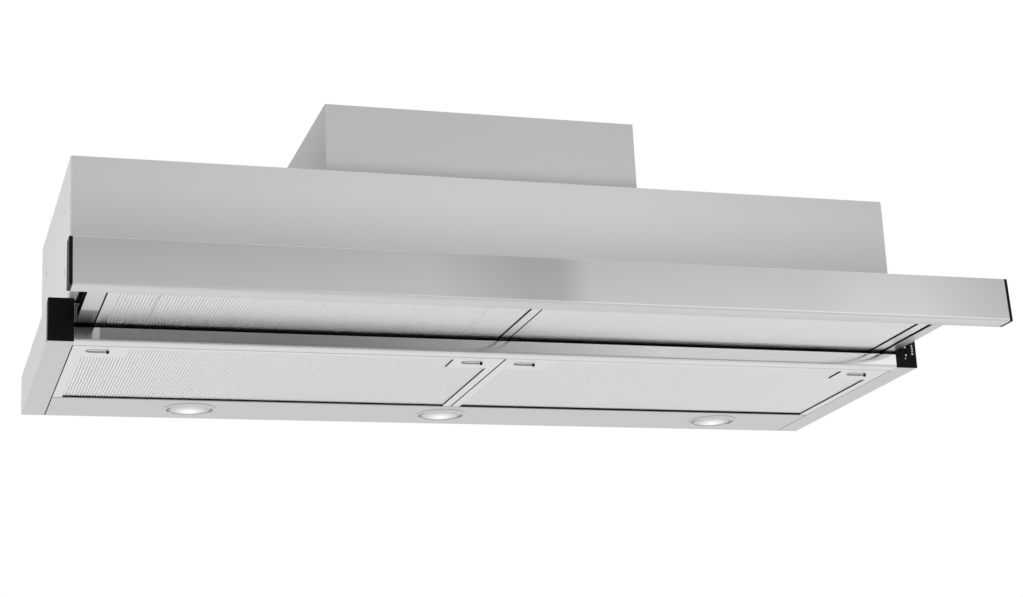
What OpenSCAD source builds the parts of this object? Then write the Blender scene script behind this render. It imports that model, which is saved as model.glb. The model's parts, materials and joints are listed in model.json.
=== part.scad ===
// Pull-out range hood for a wall cabinet, shown with its visor drawn out.
// X runs to the right, the front faces -Y and +Z is up. All sizes are millimetres.
// The origin is under the middle of the whole hood, level with its lowest edge.
// The modules work from the tray: its front plane is y = 0 and its underside is z = 0.

/* [Tray] */
// Width over the tray and over the front panel
hood_w = 898; // [800:1:1200]
// Depth of the fixed tray, front to back
tray_d = 304; // [298:0.5:330]
// Height of the fixed tray
tray_h = 41.7; // [41:0.1:48]
// Thickness of every bent sheet
sheet_t = 1; // [0.8:0.05:1.2]
// Width of the side profile at each end of the tray
side_w = 24; // [22:0.5:30]
// Width of the seam between a side profile and what lies beside it
seam_w = 1; // [0.6:0.1:1.4]
// Height of the rail across the front of the tray
rail_h = 14.5; // [12:0.1:15]
// Depth of the rail's lower flange
rail_foot_d = 15; // [13:0.1:15.4]
// Depth of the rail's upper flange
rail_lip_d = 6; // [3:0.1:8]
// Outer radius of the rail's bent edges
rail_bend_r = 1.4; // [1.1:0.1:2]
// Depth of the moulded end pieces at the front corners
cap_d = 13; // [10:0.5:18]
// Wall of a moulded end piece
cap_wall = 2; // [1.5:0.1:3]

/* [Casing] */
// How far the cabinet's side panels may sit on the tray at each end
seat_w = 20; // [16:0.5:21]
// How far the casing's front stands behind the tray's front
casing_set = 5.5; // [3:0.1:12]
// Height of the casing's top over the tray's underside
casing_h = 185; // [175:1:215]
// Width of the rim left round the blower opening
top_rim = 8; // [5:0.5:12]
// Diameter of the cabinet screw holes in the sides
fix_hole_d = 4.5; // [3.5:0.1:6]
// Spacing of the cabinet screw holes along the depth
fix_span_y = 200; // [120:1:230]
// Spacing of the cabinet screw holes along the height
fix_span_z = 60; // [30:1:90]

/* [Upper box] */
// Width of the upper box over the blower
box_w = 337; // [310:1:420]
// Depth of the upper box, from the casing's back
box_d = 247; // [242:0.5:264]
// Height of the upper box's top over the tray's underside
box_h = 276; // [270:1:310]
// Width of the flanges that carry the upper box
flange_w = 12; // [10:0.5:16]
// Nominal thread diameter of the casing screws
screw_d = 4; // [3:0.1:5]
// Head diameter of the casing screws
screw_head_d = 7.6; // [6.5:0.1:8.5]
// Head height of the casing screws
screw_head_h = 2.4; // [1.5:0.1:3]
// Number of casing screws along each flange
screw_count = 4; // [2:1:6]

/* [Duct outlet] */
// Outer diameter of the outlet collar, for 150 mm duct
duct_d = 149; // [120:0.5:149]
// Height of the collar above the upper box
collar_h = 30; // [24:0.5:60]
// Wall of the collar
collar_wall = 2; // [1.5:0.1:3]
// Centre of the collar in front of the casing's back
duct_from_rear = 89; // [84:0.5:100]
// Width of the collar's foot round its tube
collar_foot_w = 9; // [6:0.5:12]
// Thickness of a back-draught flap
flap_t = 1.2; // [0.8:0.1:2]
// Diameter of a flap's rod
flap_rod_d = 3; // [2.4:0.1:4]
// Height of the flap rods above the upper box
flap_rise = 6; // [5:0.1:9]

/* [Blower] */
// Outer diameter of the impeller
impeller_d = 144; // [120:1:150]
// Half the width of the impeller
impeller_half_w = 57; // [40:1:57]
// Number of impeller blades
blade_count = 24; // [12:1:30]
// Depth of a blade along the radius
blade_depth = 10; // [7:0.5:12]
// Thickness of a blade
blade_t = 1.2; // [0.8:0.1:2]
// How far the blower's axis lies in front of the collar's centre
blower_shift = 50; // [46:0.5:54]
// Centre of the blower over the tray's underside
blower_z = 158; // [154:0.5:162]
// Radius of the scroll where the air is cut off
scroll_start_r = 80; // [79:0.5:84]
// Radius of the scroll where the air leaves it
scroll_end_r = 122; // [110:0.5:124]
// Wall of the scroll
scroll_wall = 1.5; // [1:0.1:2.5]
// Half the width of the scroll
scroll_half_w = 64; // [62:0.5:80]
// Radius of the scroll's side inlets
inlet_r = 60; // [50:0.5:66]
// Diameter of the motor
motor_d = 90; // [70:1:96]
// Length of the motor
motor_len = 44; // [30:1:46]
// Diameter of the motor shaft
shaft_d = 8; // [6:0.5:12]

/* [Control end] */
// Rise of the fan slider from off to its highest speed
fan_slide_travel = 11.1; // [6:0.1:12]
// Rise of the lamp slider from off to on
lamp_slide_travel = 9; // [5:0.1:10]
// Side of a slider's square button
slider_button = 4; // [3:0.1:4.5]

/* [Lamps] */
// Diameter of a lamp's bezel
bezel_d = 56; // [50:0.5:58]
// Diameter of the lens opening in the bezel
lens_d = 44; // [36:0.5:46]
// How far a lens bulges below the tray
lens_bulge = 2.4; // [1:0.1:3]
// Centre line of the lamps in front of the tray's rear edge
lamp_from_rear = 41; // [38:0.5:44]
// Place of the left lamp, from the middle
lamp_left_x = -277; // [-330:1:-200]
// Place of the middle lamp, from the middle
lamp_middle_x = 0; // [-60:1:60]
// Place of the right lamp, from the middle
lamp_right_x = 324; // [200:1:340]

/* [Filters] */
// Height of a filter cassette
filter_h = 9; // [8:0.1:11]
// Thickness of the sheet that a cassette is folded from
lip_t = 0.8; // [0.6:0.05:1]
// Depth of the strip left for the lamps behind the tray's filters
lamp_strip_d = 82.5; // [78:0.5:89]
// Gap between the tray's filters and the lamp strip
strip_gap = 2.3; // [1:0.1:3]
// Width of a cassette's border beside the mesh
border_w = 9.5; // [7:0.5:12]
// Width of a cassette's border in front of the mesh
border_front_w = 8; // [6:0.5:12]
// Width of a cassette's border behind the mesh
border_rear_w = 2; // [1.6:0.1:8]
// Outer border of the visor's two cassettes
visor_border_w = 11.2; // [10:0.1:16]
// Width of a handle plate
plate_w = 42; // [40:0.5:60]
// Depth of a handle plate
plate_d = 32; // [24:0.5:40]
// Length of the finger slot in a handle plate
slot_len = 22; // [18:0.5:24]
// Width of the finger slot in a handle plate
slot_w = 10; // [9.5:0.1:12]
// Centre of the left finger slot from the cassette's left side
slot_from_left = 24.5; // [22:0.5:28]
// Centre of the right finger slot from the cassette's right side
slot_from_right = 29.5; // [22:0.5:31]
// Centre of the finger slots behind the cassette's front
slot_from_front = 18; // [15:0.5:22]
// Travel of a latch
latch_travel = 4; // [3:0.1:4]

/* [Visor] */
// Room left behind the visor when it is shut
visor_rear_gap = 71.5; // [66:0.5:90]
// Gap left behind the front panel when the visor is shut
shut_gap = 2.8; // [2.4:0.1:4]
// Depth of the front panel's lower flange
panel_d = 21.3; // [16:0.1:30]
// Height of the front panel
panel_h = 43.6; // [42.5:0.1:50]
// How far the front panel hangs below the tray
panel_drop = 3.1; // [3:0.1:6]
// How far the panel's upper edge leans back
panel_lean = 2.6; // [0:0.1:6]
// Outer radius of the panel's lower front bend
panel_bend_r = 1.3; // [1.1:0.1:2]
// Thickness of the panel's moulded end caps
panel_cap_t = 3; // [2:0.1:5]
// Underside of the visor's side members over the tray's underside
visor_foot = 16.5; // [16:0.1:17]
// Width of the flange under each side member
visor_flange_w = 12; // [12:0.1:14]
// Upper face of the visor's cover over the tray's underside
visor_top = 39.5; // [39:0.1:40]
// How far the visor reaches behind the tray's front when it is out
visor_tail = 62; // [40:0.5:62]
// Gap between the right side member and the cassette beside it
visor_side_gap = 3; // [2:0.1:6]
// How far the left side member's flange reaches inwards past its wall
visor_lip_w = 4.5; // [0.5:0.1:6]
// Gap between the left side member's flange and the cassette beside it
visor_lip_gap = 1.2; // [0.8:0.1:3]

/* [Ball slides] */
// Height of a ball slide
slide_h = 18; // [18:0.1:18.6]
// Thickness of the slide's metal
slide_t = 1.2; // [1:0.05:1.4]
// Diameter of the slide's balls
ball_d = 2.6; // [2:0.1:2.7]
// Number of balls in each row
ball_count = 5; // [3:1:6]

/* [Hidden] */

// Colours as the photograph shows them
paint = [0.77, 0.77, 0.78];
steel = [0.70, 0.70, 0.71];
bright = [0.85, 0.85, 0.86];
mesh_grey = [0.83, 0.83, 0.84];
black = [0.06, 0.06, 0.07];
zinc = [0.66, 0.68, 0.70];
frosted = [0.97, 0.97, 0.94];
plastic_grey = [0.35, 0.36, 0.38];

// How far a cut runs past what it cuts
overrun = 1;
// Gap between two pieces that move past each other
play = 0.5;
// Radial gap of a rod or shaft that runs in a bore
run_play = 0.05;
// Gap in front of a cassette
filter_gap = 1;
// Number of facets on round parts
round_fn = 72;
// Number of facets on small round parts
small_fn = 32;
// Number of steps round a bend
bend_steps = 5;

half_w = hood_w / 2;
inner_x = half_w - side_w;
pan_x = inner_x - seam_w;
body_x = half_w - seat_w;
rear_y = tray_d - sheet_t;
cap_floor = sheet_t + cap_wall;
casing_front = casing_set + sheet_t;
visor_travel = tray_d - visor_rear_gap - visor_tail;
visor_out = visor_travel + shut_gap;
panel_back = -visor_out;
reach = visor_out + panel_d;
tray_at = [0, (reach - tray_d) / 2, panel_drop];

box_set = tray_d - box_d;
duct_y = tray_d - duct_from_rear;
blower_y = duct_y - blower_shift;
lamp_y = tray_d - lamp_from_rear;
tray_filter_end = tray_d - lamp_strip_d;
filter_start = rail_foot_d + filter_gap;
filter_mid = seam_w / 2;
lamp_tray_start = tray_filter_end + strip_gap;
// Rise of a hook tab over the cassette's underside, its thickness, width and reach
tab_z = 2;
tab_t = 1.2;
tab_w = 12;
tab_reach = 7.5;
// Height of a latch's underside over its cassette's underside, and its thickness
latch_z = 1.3;
latch_t = 1.1;
// Width of a latch's tongue, and how far its nose reaches past the cassette
tongue_w = 16;
nose_len = 3.5;
// How far a latch's finger pad stays inside the slot's ends
pad_inset = 3.2;
// How far the finger pad stands back from the cassette's underside
pad_z = 0.2;
pad_w = slot_w - latch_travel - 2 * play;
// Thickness of the mesh pack, which leaves a pocket round each latch
mesh_t = 2;

// How far the visor's ledge reaches behind its front bar
ledge_d = 3.4;
// Where the visor's cassettes end behind the tray's front
visor_filter_end = 9;
visor_bar_end = panel_back + sheet_t;
visor_filter_start = visor_bar_end + ledge_d + filter_gap;
visor_wall_x = pan_x - visor_flange_w;
visor_filter_left_x = visor_lip_w + visor_lip_gap - visor_wall_x;
visor_filter_right_x = visor_wall_x - visor_side_gap;
visor_filter_z = visor_foot + sheet_t;
visor_cover_z = visor_top - sheet_t;
// Depth and height of the angle that carries the rear of the visor's cassettes
rear_bar_d = 12.5;
rear_bar_h = 8.5;

// Gap under and over a ball slide inside the side member
slide_gap = 1.5;
// How far the slide's fixed member stands back at the front and at the rear
slide_front_gap = 0.5;
slide_rear_gap = 3;
// How far the fixed member's flanges reach inwards
slide_reach = 8;
// Thickness of a ball cage and the gap on each side of it
cage_t = 0.8;
cage_gap = 0.8;
// Gap between a ball and the slide's flanges
ball_play = 0.25;
// Pitch of the balls, and where their cage starts behind the tray's front
ball_pitch = 12;
cage_start = 2;
slide_z = visor_filter_z + slide_gap;
slide_web_x = inner_x - slide_t;
slide_step = slide_t + ball_d + 2 * ball_play;
inner_slide_z = slide_z + slide_step;
inner_slide_h = slide_h - 2 * slide_step;
inner_slide_x = visor_wall_x + sheet_t;
cage_web_x = slide_web_x - cage_gap - cage_t;
inner_slide_tip = cage_web_x - cage_gap;
ball_x = (inner_x - slide_reach + inner_slide_tip) / 2;
ball_row_z = slide_t + ball_play + ball_d / 2;

collar_r = duct_d / 2;
duct_r = collar_r - collar_wall;
// Thickness of the collar's foot
collar_foot_t = 1.5;
// Width and thickness of the ledge that the flaps rest on
stop_w = 3;
stop_t = 1.6;
// Gap between a flap and its ledge, and between a flap and the collar's wall
flap_play = 0.3;
flap_side_play = 1;
// Offset of each flap's rod from the middle of the collar
flap_rod_x = 3;

// Angle round the blower's axis, from the rear upwards, at which the scroll starts
cutoff_angle = 100;
// Full turn, at which the scroll runs straight up
throat_angle = 360;
// Number of steps along the scroll
scroll_steps = 40;
// How far the throat's front wall leans forward
throat_lean = 9;
throat_rise = box_h - sheet_t - blower_z;
cutoff_x = scroll_start_r * cos(cutoff_angle);
// Thickness of the impeller's middle disc, and width and depth of its end rings
disc_t = 2;
ring_w = 3;
// Radius and half length of the impeller's hub
hub_r = 12;
hub_half_w = 6;
// Gap between the motor and the hub
motor_gap = 2;
// Radius of the motor bracket's boss, and thickness and width of its arms
boss_r = 28;
arm_t = 2;
arm_w = 12;
// How far an arm laps over the scroll's side
arm_lap = 7;
motor_end_x = hub_half_w + motor_gap + motor_len;
shaft_len = 40;

// Size of the electronics box
electronics_size = [120, 50, 48];
// Place of the cable gland on the casing's top, from its left side and its back
gland_from_side = 89;
gland_from_rear = 26;
gland_x = gland_from_side - body_x;
// Cable bore, body, nut and collar of the cable gland
cable_d = 8.4;
gland_d = 16;
gland_nut_d = 22;
gland_nut_h = 4;
gland_rise = 14;
// Place and size of the motor capacitor, and of its clip
capacitor_at = [120, 0, 110];
capacitor_d = 34;
capacitor_len = 70;
clip_size = [24, 12, 22];

// Gap round a casing screw, and how far the rows of screws stay behind and in front of the box's ends
screw_play = 0.2;
screw_front_gap = 30;
screw_rear_gap = 20;
screw_first_y = box_set + screw_front_gap;
screw_last_y = rear_y - screw_rear_gap;
screw_x = box_w / 2 + flange_w / 2;

// Height, width and lip of the lamp bezels
bezel_t = 0.8;
bezel_neck_h = 8;
bezel_neck_w = 2;
lens_lip_w = 1.8;
lens_lip_t = 1.6;
lens_play = 0.2;
lens_steps = 8;
// Height of the lamp housings
lamp_can_h = 12;
neck_r = lens_d / 2 + lens_lip_w + lens_play + bezel_neck_w;
lamp_xs = [lamp_left_x, lamp_middle_x, lamp_right_x];

// Slots, buttons and carriages of the two sliders
button_proud = 1;
slider_slot_w = 2.6;
slider_stem_w = 2;
carriage_w = 8;
carriage_t = 2;
fan_slider_from_side = 10.5;
lamp_slider_from_side = 18.5;
fan_slider_x = half_w - fan_slider_from_side;
lamp_slider_x = half_w - lamp_slider_from_side;
fan_slider_z = 18.7;
lamp_slider_z = 15;
board_y = 6.5;
board_t = 1.6;

// Size of the door switch, with its place and that of its plunger
switch_w = 14;
switch_d = 22;
switch_h = 16;
switch_z = 20;
plunger_d = 3;
plunger_len = 7;
plunger_travel = 1.5;
plunger_y = visor_tail + visor_travel + play;
plunger_x = visor_wall_x + sheet_t / 2;
plunger_z = switch_z + switch_h / 2;
switch_y = plunger_y + 2 * plunger_travel;

// Moves the tray's own frame to the hood's origin
module at_tray() {
    translate(tray_at) children();
}

// Right-hand shape for s = 1, its mirror image for s = -1
module hand(s) {
    mirror([s < 0 ? 1 : 0, 0, 0]) children();
}

// Block between two opposite corners
module block(low, high) {
    translate(low) cube(high - low);
}

// Outline in Y and Z, drawn out along X
module along_x(x0, x1) {
    translate([x0, 0, 0]) rotate([90, 0, 90]) linear_extrude(x1 - x0) children();
}

// Round hole or rod along X or along Y from a point
module rod_x(at, r, h, fn) {
    translate(at) rotate([0, 90, 0]) cylinder(r = r, h = h, $fn = fn);
}
module rod_y(at, r, h, fn) {
    translate(at) rotate([-90, 0, 0]) cylinder(r = r, h = h, $fn = fn);
}

function unit(v) = v / norm(v);

// Points round a bend of radius r at p, coming from a and going on to b
function bend(a, p, b, r) =
    let (
        u = unit(a - p),
        w = unit(b - p),
        half = acos(u * w) / 2,
        c = p + unit(u + w) * r / sin(half),
        s = p + u * r / tan(half) - c,
        e = p + w * r / tan(half) - c,
        start = atan2(s.y, s.x),
        turn = (atan2(e.y, e.x) - start + 540) % 360 - 180
    )
    [for (i = [0:bend_steps]) let (t = start + turn * i / bend_steps) c + r * [cos(t), sin(t)]];

// Stadium of a given length along X and width along Y, centred
module stadium(length, width, h) {
    for (s = [-1, 1]) {
        translate([s * (length - width) / 2, 0, 0]) cylinder(d = width, h = h, $fn = small_fn);
    }
    translate([-(length - width) / 2, -width / 2, 0]) cube([length - width, width, h]);
}

// Casing of flat sheets: front, two sides, back and top
module body_front() {
    color(paint) at_tray() block([-body_x, casing_set, tray_h], [body_x, casing_front, casing_h]);
}

module body_side(s) {
    color(paint) at_tray() hand(s) difference() {
        block([body_x - sheet_t, casing_front, tray_h], [body_x, rear_y, casing_h]);
        for (y = [-1, 1], z = [-1, 1]) {
            rod_x([body_x - sheet_t - overrun,
                (casing_front + rear_y) / 2 + y * fix_span_y / 2,
                (tray_h + casing_h) / 2 + z * fix_span_z / 2],
                fix_hole_d / 2, sheet_t + 2 * overrun, small_fn);
        }
    }
}

module body_back() {
    color(paint) at_tray() block([-body_x, rear_y, tray_h], [body_x, tray_d, casing_h]);
}

// Places along the flanges of the upper box that take a screw
module at_screws() {
    step = (screw_last_y - screw_first_y) / (screw_count - 1);
    for (s = [-1, 1], i = [0:screw_count - 1]) {
        translate([s * screw_x, screw_first_y + i * step, casing_h - sheet_t]) children();
    }
}

module body_top() {
    opening_x = box_w / 2 - sheet_t - top_rim;
    color(paint) at_tray() difference() {
        block([-body_x + sheet_t, casing_front, casing_h - sheet_t], [body_x - sheet_t, rear_y, casing_h]);
        block([-opening_x, box_set + sheet_t + top_rim, casing_h - sheet_t - overrun],
            [opening_x, rear_y - top_rim, casing_h + overrun]);
        at_screws() translate([0, 0, -overrun])
            cylinder(d = screw_d + 2 * screw_play, h = sheet_t + 2 * overrun, $fn = small_fn);
        translate([gland_x, rear_y - gland_from_rear, casing_h - sheet_t - overrun])
            cylinder(d = gland_d, h = sheet_t + 2 * overrun, $fn = small_fn);
    }
}

// Box over the blower, open below, with the outlet hole in its top
module motor_box() {
    color(paint) at_tray() difference() {
        union() {
            block([-box_w / 2, box_set, casing_h], [box_w / 2, tray_d, box_h]);
            block([-box_w / 2 - flange_w, box_set, casing_h],
                [box_w / 2 + flange_w, rear_y, casing_h + sheet_t]);
        }
        block([-box_w / 2 + sheet_t, box_set + sheet_t, casing_h - overrun],
            [box_w / 2 - sheet_t, rear_y, box_h - sheet_t]);
        translate([0, duct_y, box_h - sheet_t - overrun])
            cylinder(r = duct_r, h = sheet_t + 2 * overrun, $fn = round_fn);
        at_screws() cylinder(d = screw_d + 2 * screw_play, h = 2 * sheet_t + overrun, $fn = small_fn);
    }
}

module case_screws() {
    color(zinc) at_tray() at_screws() {
        cylinder(d = screw_d, h = 2 * sheet_t, $fn = small_fn);
        translate([0, 0, 2 * sheet_t]) cylinder(d = screw_head_d, h = screw_head_h, $fn = small_fn);
    }
}

// Collar for the duct, with a ledge that stops the flaps and holes for their rods
module outlet_collar() {
    stop_top = flap_rise - flap_t / 2 - flap_play;
    color(black) at_tray() translate([0, duct_y, box_h]) difference() {
        rotate_extrude($fn = round_fn) polygon([
            [duct_r, 0], [collar_r + collar_foot_w, 0], [collar_r + collar_foot_w, collar_foot_t],
            [collar_r, collar_foot_t], [collar_r, collar_h], [duct_r, collar_h], [duct_r, stop_top],
            [duct_r - stop_w, stop_top], [duct_r - stop_w, stop_top - stop_t], [duct_r, stop_top - stop_t]]);
        for (s = [-1, 1]) {
            rod_y([s * flap_rod_x, -collar_r - overrun, flap_rise],
                flap_rod_d / 2 + run_play, 2 * (collar_r + overrun), small_fn);
        }
    }
}

// Half-round flap on its own rod; the pair lies shut under its own weight
module damper_flap(s) {
    rod_half = collar_r - collar_wall / 4;
    color(plastic_grey) at_tray() translate([0, duct_y, box_h + flap_rise]) hand(s) {
        difference() {
            translate([0, 0, -flap_t / 2]) cylinder(r = duct_r - flap_side_play, h = flap_t, $fn = round_fn);
            block([-collar_r, -collar_r, -flap_rise], [flap_rod_x, collar_r, flap_rise]);
        }
        rod_y([flap_rod_x, -rod_half, 0], flap_rod_d / 2, 2 * rod_half, small_fn);
    }
}

// Spiral outline of the scroll, extra outside its inner wall, and its throat up to rise
function spiral_r(a) = scroll_start_r
    + (scroll_end_r - scroll_start_r) * (a - cutoff_angle) / (throat_angle - cutoff_angle);
function scroll_outline(extra, rise) = concat(
    [for (i = [0:scroll_steps])
        let (a = cutoff_angle + (throat_angle - cutoff_angle) * i / scroll_steps)
        (spiral_r(a) + extra) * [cos(a), sin(a)]],
    [[scroll_end_r + extra, rise], [cutoff_x - throat_lean - extra, rise]]);

module at_blower() {
    at_tray() translate([0, blower_y, blower_z]) children();
}

module scroll_half(s) {
    color(plastic_grey) at_blower() hand(s) difference() {
        along_x(0, scroll_half_w) polygon(scroll_outline(scroll_wall, throat_rise));
        along_x(-overrun, scroll_half_w - scroll_wall) polygon(scroll_outline(0, throat_rise + overrun));
        rod_x([0, 0, 0], inlet_r, scroll_half_w + overrun, round_fn);
    }
}

// Drum impeller: middle disc with its hub, blades and two end rings
module impeller() {
    tip_r = impeller_d / 2;
    color(black) at_blower() difference() {
        union() {
            rod_x([-disc_t / 2, 0, 0], tip_r, disc_t, round_fn);
            rod_x([-hub_half_w, 0, 0], hub_r, 2 * hub_half_w, small_fn);
            for (i = [0:blade_count - 1]) {
                rotate([360 * i / blade_count, 0, 0])
                    block([-impeller_half_w + ring_w / 2, -blade_t / 2, tip_r - blade_depth],
                        [impeller_half_w - ring_w / 2, blade_t / 2, tip_r - ring_w / 3]);
            }
            for (s = [-1, 1]) {
                hand(s) difference() {
                    rod_x([impeller_half_w - ring_w, 0, 0], tip_r, ring_w, round_fn);
                    rod_x([0, 0, 0], tip_r - blade_depth, impeller_half_w + overrun, round_fn);
                }
            }
        }
        rod_x([-hub_half_w - overrun, 0, 0], shaft_d / 2, 2 * (hub_half_w + overrun), small_fn);
    }
}

module motor_shaft() {
    color(zinc) at_blower()
        rod_x([-shaft_len - hub_half_w, 0, 0], shaft_d / 2, shaft_len + 2 * hub_half_w, small_fn);
}

module motor() {
    bore_end = shaft_len + hub_half_w + motor_gap;
    color(plastic_grey) at_blower() difference() {
        rod_x([-motor_end_x, 0, 0], motor_d / 2, motor_len, round_fn);
        rod_x([-bore_end, 0, 0], shaft_d / 2 + run_play, bore_end, small_fn);
    }
}

// Three arms that hold the motor in the scroll's left inlet
module motor_bracket() {
    color(zinc) at_blower() {
        rod_x([-scroll_half_w - arm_t, 0, 0], boss_r, scroll_half_w + arm_t - motor_end_x, round_fn);
        for (i = [0:2]) {
            rotate([120 * i, 0, 0])
                block([-scroll_half_w - arm_t, -arm_w / 2, 0],
                    [-scroll_half_w, arm_w / 2, inlet_r + arm_lap]);
        }
    }
}

module capacitor() {
    color(bright) at_tray() {
        translate([capacitor_at.x, rear_y, capacitor_at.z]) {
            block([0, -clip_size.y, -clip_size.z / 2], [clip_size.x, 0, clip_size.z / 2]);
            rod_x([0, -clip_size.y - capacitor_d / 2 + overrun, 0], capacitor_d / 2, capacitor_len, small_fn);
        }
    }
}

module electronics_box() {
    top = casing_h - sheet_t - gland_nut_h - play;
    color(plastic_grey) at_tray()
        block([gland_x - electronics_size.x / 2, rear_y - electronics_size.y, top - electronics_size.z],
            [gland_x + electronics_size.x / 2, rear_y, top]);
}

// Gland for the mains lead: body through the top, a nut below and a collar above
module cable_gland() {
    nut_z = -sheet_t - gland_nut_h;
    color(black) at_tray() translate([gland_x, rear_y - gland_from_rear, casing_h]) difference() {
        union() {
            translate([0, 0, nut_z]) cylinder(d = gland_d, h = gland_rise - nut_z, $fn = small_fn);
            for (z = [nut_z, 0]) {
                translate([0, 0, z]) cylinder(d = gland_nut_d, h = gland_nut_h, $fn = 6);
            }
        }
        translate([0, 0, nut_z - overrun])
            cylinder(d = cable_d, h = gland_rise - nut_z + 2 * overrun, $fn = small_fn);
    }
}

// Folded box profile at each end of the tray, which the cabinet's side stands on; its lowest
// sheet runs on under the moulded end piece
module tray_side(s) {
    color(steel) at_tray() hand(s) {
        difference() {
            block([inner_x, cap_d, 0], [half_w, tray_d, tray_h]);
            block([inner_x + sheet_t, cap_d - overrun, sheet_t],
                [half_w - sheet_t, rear_y, tray_h - sheet_t]);
        }
        block([inner_x, cap_wall, 0], [half_w, cap_d, sheet_t]);
    }
}

// Rail across the front of the tray, folded from one strip of bright steel
module tray_front_rail() {
    foot = [rail_foot_d, 0];
    low = [0, 0];
    high = [0, rail_h];
    lip = [rail_lip_d, rail_h];
    inside = [
        [rail_lip_d, rail_h - sheet_t], [sheet_t, rail_h - sheet_t],
        [sheet_t, sheet_t], [rail_foot_d, sheet_t]];
    color(bright) at_tray() along_x(-inner_x, inner_x) polygon(concat(
        [foot], bend(foot, low, high, rail_bend_r), bend(low, high, lip, rail_bend_r), [lip], inside));
}

// Rear strip of the tray with its three lamp holes, and the tray's back
module lamp_tray() {
    color(steel) at_tray() {
        difference() {
            block([-pan_x, lamp_tray_start, 0], [pan_x, rear_y, sheet_t]);
            for (x = lamp_xs) {
                translate([x, lamp_y, -overrun])
                    cylinder(r = neck_r + lens_play, h = sheet_t + 2 * overrun, $fn = round_fn);
            }
        }
        block([-inner_x, rear_y, 0], [inner_x, tray_d, tray_h]);
    }
}

// Moulded end piece of the tray, hollow from behind, on the side profile's lowest sheet
module cap_shell(s) {
    hand(s) difference() {
        block([inner_x, 0, 0], [half_w, cap_d, tray_h]);
        block([inner_x - overrun, cap_wall, -overrun], [half_w + overrun, cap_d + overrun, sheet_t]);
        block([inner_x + cap_wall, cap_wall, cap_floor],
            [half_w - cap_wall, cap_d + overrun, tray_h - cap_wall]);
    }
}

module end_cap_left() {
    color(black) at_tray() cap_shell(-1);
}

// Upright slot that a slider's stem runs in
module slider_slot(x, z, travel) {
    end_gap = slider_stem_w / 2 + play;
    block([x - slider_slot_w / 2, -overrun, z - end_gap],
        [x + slider_slot_w / 2, cap_wall + overrun, z + travel + end_gap]);
}

// Right end piece, with a slot for the fan slider and one for the lamp slider
module control_housing() {
    color(black) at_tray() difference() {
        cap_shell(1);
        slider_slot(fan_slider_x, fan_slider_z, fan_slide_travel);
        slider_slot(lamp_slider_x, lamp_slider_z, lamp_slide_travel);
    }
}

// Circuit board behind the sliders, held in the end piece's pocket
module switch_board() {
    color([0.1, 0.35, 0.2]) at_tray()
        block([inner_x + cap_wall, board_y, cap_floor],
            [half_w - cap_wall, board_y + board_t, tray_h - cap_wall]);
}

// Slider: square button, stem through the slot and a carriage behind the face
module slider(x, z, w) {
    carriage_y = cap_wall + play;
    color(black) at_tray() translate([x, 0, z]) {
        block([-slider_button / 2, -button_proud, -slider_button / 2],
            [slider_button / 2, -play / 2, slider_button / 2]);
        block([-slider_stem_w / 2, -play / 2, -slider_stem_w / 2],
            [slider_stem_w / 2, carriage_y, slider_stem_w / 2]);
        block([-w / 2, carriage_y, -slider_button / 2], [w / 2, carriage_y + carriage_t, slider_button / 2]);
    }
}

// Lamps in the rear strip: bezel, frosted lens and the housing behind them
module at_lamps() {
    for (x = lamp_xs) {
        translate([x, lamp_y, 0]) children();
    }
}

module lamp_bezels() {
    color(bright) at_tray() at_lamps() rotate_extrude($fn = round_fn) polygon([
        [lens_d / 2, -bezel_t], [bezel_d / 2 - bezel_t / 2, -bezel_t], [bezel_d / 2, 0], [neck_r, 0],
        [neck_r, bezel_neck_h], [neck_r - bezel_neck_w, bezel_neck_h], [neck_r - bezel_neck_w, 0],
        [lens_d / 2, 0]]);
}

module lamp_lenses() {
    lens_r = lens_d / 2 - lens_play;
    color(frosted) at_tray() at_lamps() rotate_extrude($fn = round_fn) polygon(concat(
        [[0, lens_lip_t]],
        [for (i = [0:lens_steps])
            [lens_r * i / lens_steps, -lens_bulge * (1 - pow(i / lens_steps, 2)) - lens_play]],
        [[lens_r, 0], [lens_r + lens_lip_w, 0], [lens_r + lens_lip_w, lens_lip_t]]));
}

module lamp_housings() {
    color(zinc) at_tray() at_lamps() translate([0, 0, bezel_neck_h]) difference() {
        cylinder(r = neck_r, h = lamp_can_h, $fn = round_fn);
        translate([0, 0, -overrun])
            cylinder(r = neck_r - bezel_neck_w, h = lamp_can_h - sheet_t + overrun, $fn = round_fn);
    }
}

// Switch that starts the fan as the visor leaves its plunger, on a foot on the rear strip
module microswitch() {
    color(black) at_tray() difference() {
        union() {
            block([plunger_x - 0.7 * switch_w, switch_y, switch_z],
                [plunger_x + 0.3 * switch_w, switch_y + switch_d, switch_z + switch_h]);
            block([plunger_x - 0.7 * switch_w, switch_y + switch_d / 2, sheet_t],
                [plunger_x + 0.3 * switch_w, switch_y + switch_d, switch_z]);
        }
        rod_y([plunger_x, switch_y - overrun, plunger_z], plunger_d / 2 + run_play,
            plunger_len + overrun, small_fn);
    }
}

module switch_plunger() {
    color("red") at_tray() rod_y([plunger_x, plunger_y, plunger_z], plunger_d / 2, plunger_len, small_fn);
}

// Ball slides at the visor's sides: fixed member, ball cage and moving member
module slide_outer(s) {
    color(zinc) at_tray() hand(s) difference() {
        block([inner_x - slide_reach, slide_front_gap, slide_z],
            [inner_x, rear_y - slide_rear_gap, slide_z + slide_h]);
        block([inner_x - slide_reach - overrun, 0, slide_z + slide_t],
            [slide_web_x, tray_d, slide_z + slide_h - slide_t]);
    }
}

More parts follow.
